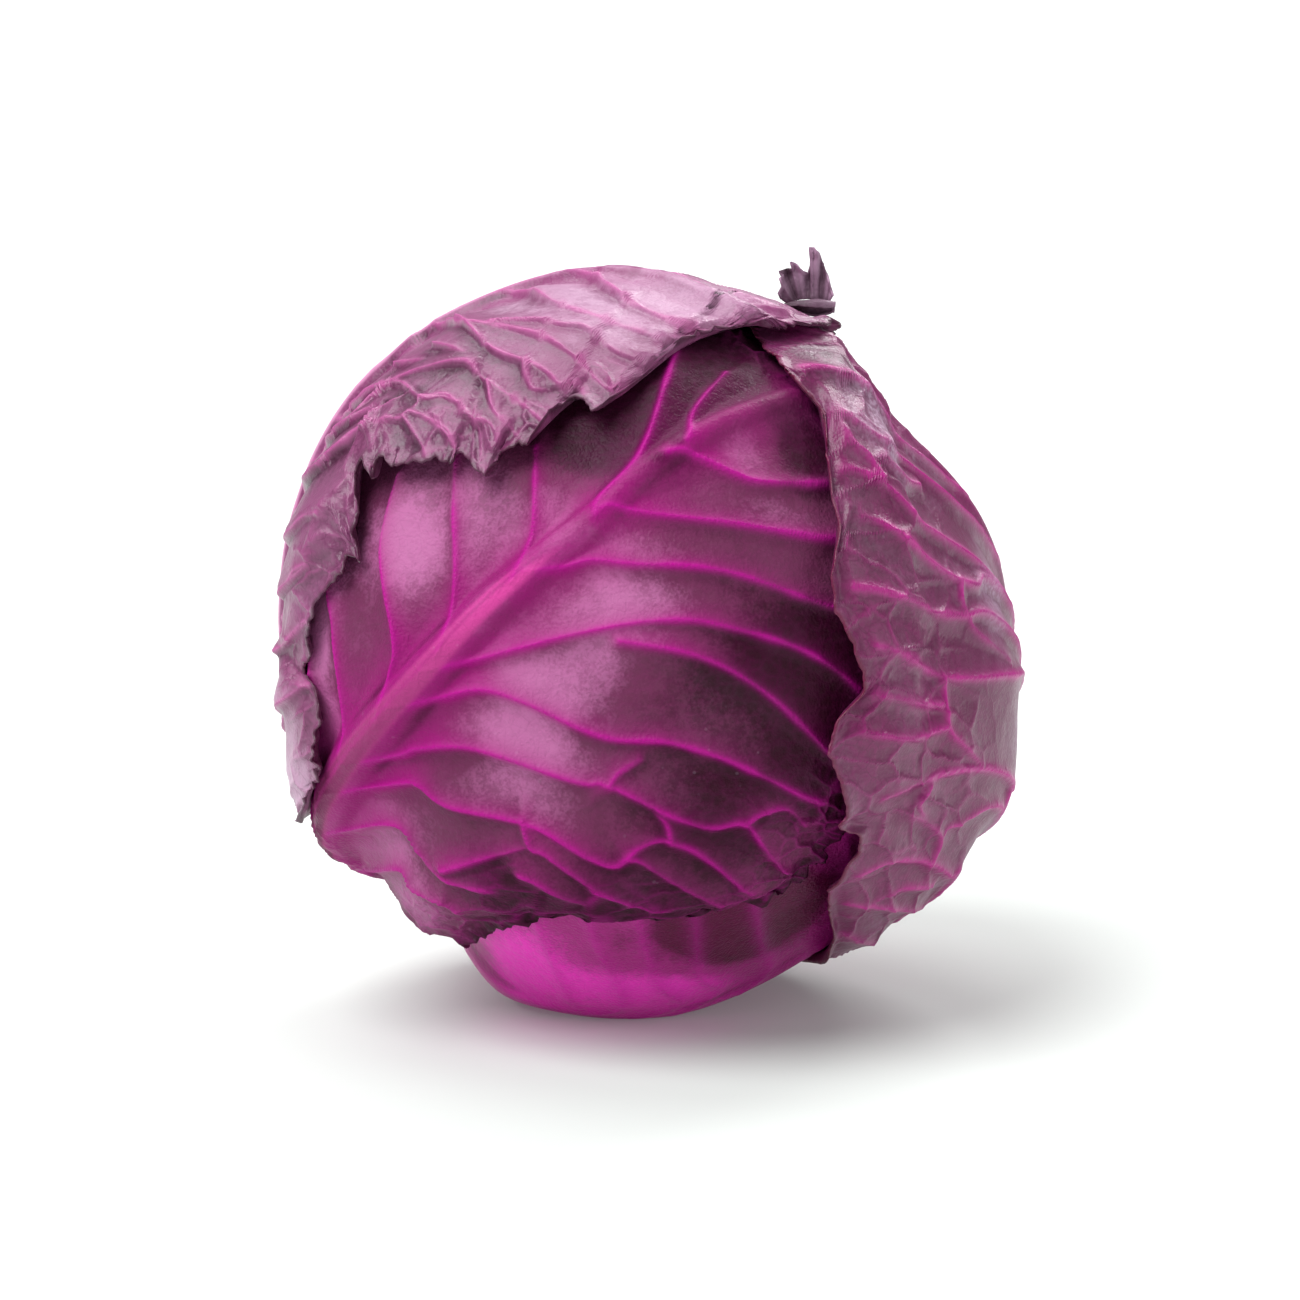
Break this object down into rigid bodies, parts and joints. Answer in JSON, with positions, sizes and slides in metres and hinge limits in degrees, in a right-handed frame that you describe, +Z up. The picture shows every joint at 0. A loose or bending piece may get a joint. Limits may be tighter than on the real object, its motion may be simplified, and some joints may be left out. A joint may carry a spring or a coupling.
{
  "type": "red cabbage head",
  "caption": "Round head of red cabbage lying tilted on a small flat spot, with a packed heart, a cut stem and broad overlapping outer leaves.",
  "frame": {"origin": "under the middle of the head, at the height of the flat face it rests on", "axes": "+Z up, -Y towards the broad front leaf, +X towards the dark right leaf"},
  "size_m": [0.1664, 0.1592, 0.169],
  "materials": {
    "heart": "smooth waxy leaf, packed solid",
    "stem": "pale cut stem, matt",
    "inner_left_leaf": "smooth waxy leaf",
    "back_leaf": "waxy leaf with a pale bloom",
    "under_leaf": "smooth bright waxy leaf",
    "front_leaf": "smooth waxy leaf with raised veins",
    "right_leaf": "dark leathery leaf with a pale bloom",
    "top_leaf": "puckered leaf with a pale bloom"
  },
  "bodies": {
    "root": {"heart": "heart", "stem": "stem", "inner_left_leaf": "inner_left_leaf", "back_leaf": "back_leaf", "under_leaf": "under_leaf", "front_leaf": "front_leaf", "right_leaf": "right_leaf", "top_leaf": "top_leaf"}
  },
  "joints": []
}
